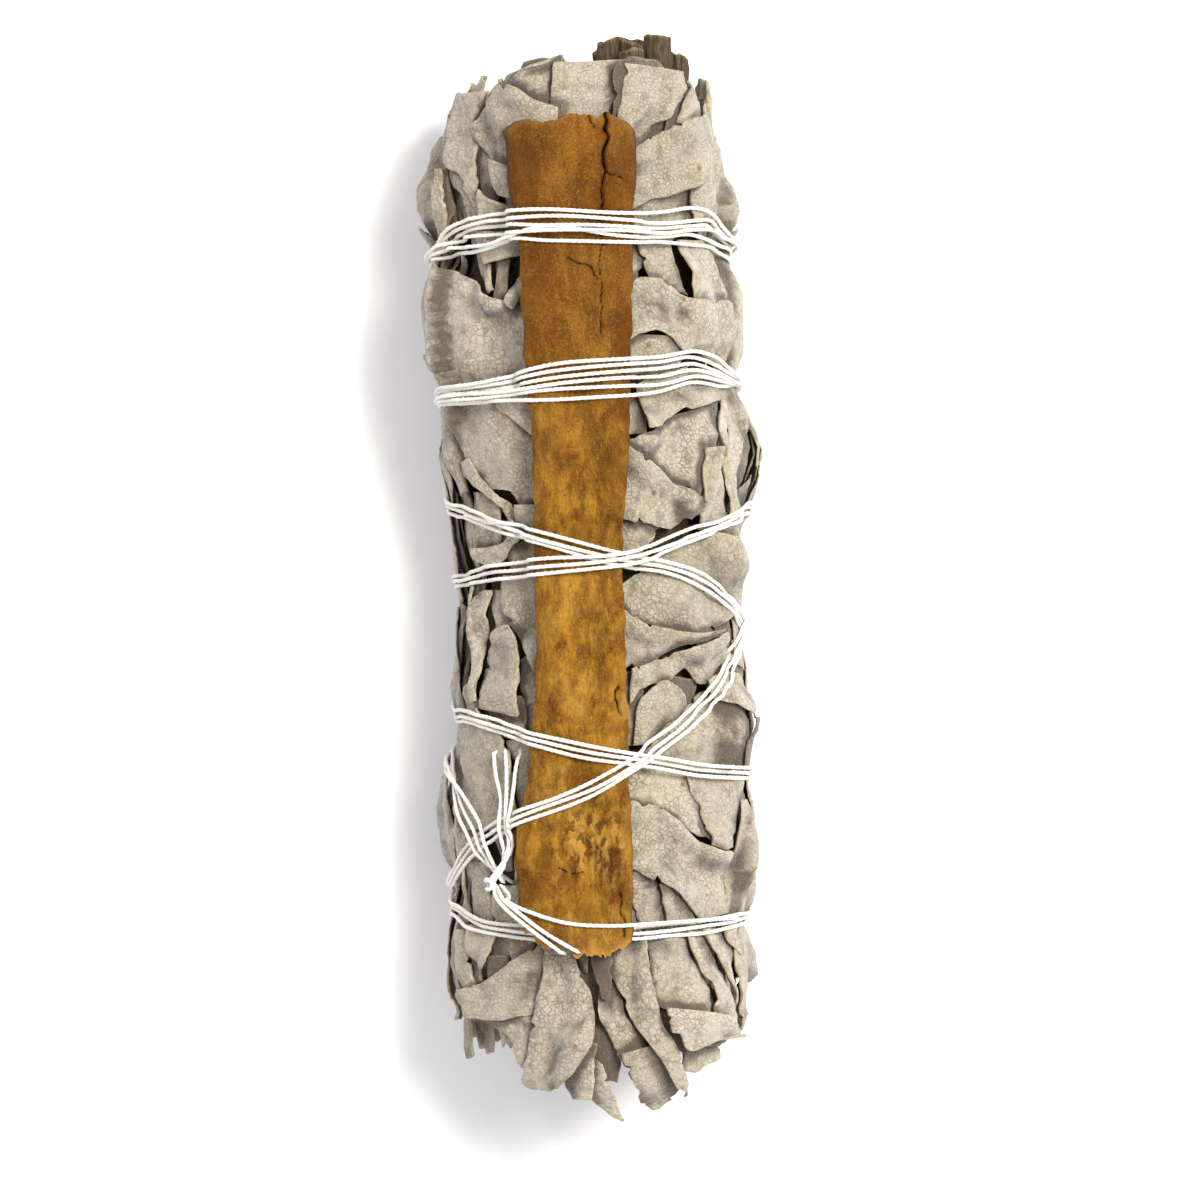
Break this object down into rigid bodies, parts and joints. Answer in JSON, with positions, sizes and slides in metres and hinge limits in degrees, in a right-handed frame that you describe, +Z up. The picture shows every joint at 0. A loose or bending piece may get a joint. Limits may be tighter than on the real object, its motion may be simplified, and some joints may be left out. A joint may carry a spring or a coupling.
{
  "type": "sage smudge stick",
  "caption": "Bundle of dried white sage sprigs with a strip of cinnamon bark along its front, wound and knotted with white cotton thread",
  "frame": {"origin": "on the surface, under the middle of the bounding box", "axes": "+Y along the bundle to its stem end, +Z up through the bark strip on its front, +X to the right as seen from the front"},
  "size_m": [0.0362, 0.1086, 0.0314],
  "materials": {
    "leaf": "matte felted leaf",
    "stem": "dry and ribbed",
    "bark": "fibrous and matte",
    "thread": "twisted cotton"
  },
  "bodies": {
    "root": {"sage_leaves_front_left": "leaf", "sage_leaves_front_right": "leaf", "sage_leaves_right": "leaf", "sage_leaves_back_right": "leaf", "sage_leaves_back_left": "leaf", "sage_leaves_left": "leaf", "sage_stem_left": "stem", "sage_stem_front_left": "stem", "sage_stem_front_right": "stem", "sage_stem_right": "stem", "sage_stem_back_right": "stem", "sage_stem_back_left": "stem", "cinnamon_bark": "bark", "cotton_thread": "thread"}
  },
  "joints": []
}
